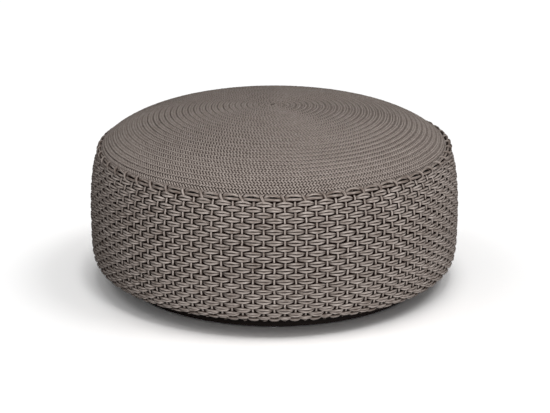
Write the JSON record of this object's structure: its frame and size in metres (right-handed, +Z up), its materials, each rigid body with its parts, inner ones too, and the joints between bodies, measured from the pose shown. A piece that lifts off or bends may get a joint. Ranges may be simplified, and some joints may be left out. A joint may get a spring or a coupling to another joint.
{
  "type": "outdoor ottoman footstool",
  "caption": "Round low footstool with a domed spiral-braided rope seat, a side of woven rope over an aluminium frame and a recessed dark plinth",
  "frame": {"origin": "on the floor, at the middle of the round footprint, level with the undersides of the glides", "axes": "+Z up along the axis of the round body; +X and +Y are any two level directions, because the body is round; glide_01 lies 30 degrees from +X towards +Y"},
  "size_m": [0.8, 0.8, 0.378],
  "materials": {
    "braid": "braided synthetic rope, matt grey-taupe",
    "rope": "woven synthetic rope, matt grey-taupe",
    "foam": "open-cell quick-dry foam",
    "frame": "powder-coated aluminium, fine matt texture",
    "plinth": "powder-coated aluminium, near-black, satin",
    "steel": "stainless steel",
    "plastic": "moulded black polymer"
  },
  "bodies": {
    "root": {"base_hoop": "frame", "base_panel": "plinth", "belly_hoop": "frame", "bottom_hem": "rope", "deck_hub": "frame", "deck_pan": "frame", "deck_spoke_01": "frame", "deck_spoke_02": "frame", "deck_spoke_03": "frame", "deck_spoke_04": "frame", "deck_spoke_05": "frame", "deck_spoke_06": "frame", "foam_dome": "foam", "glide_01": "plastic", "glide_02": "plastic", "glide_03": "plastic", "glide_04": "plastic", "glide_05": "plastic", "glide_06": "plastic", "plinth_bolt_01": "steel", "plinth_bolt_02": "steel", "plinth_bolt_03": "steel", "plinth_bolt_04": "steel", "plinth_bolt_05": "steel", "plinth_bolt_06": "steel", "plinth_ring": "plinth", "rib_01": "frame", "rib_02": "frame", "rib_03": "frame", "rib_04": "frame", "rib_05": "frame", "rib_06": "frame", "rib_07": "frame", "rib_08": "frame", "rib_09": "frame", "rib_10": "frame", "rib_11": "frame", "rib_12": "frame", "seam_border": "rope", "side_weave": "rope", "top_coil": "braid", "top_hoop": "frame"}
  },
  "joints": []
}
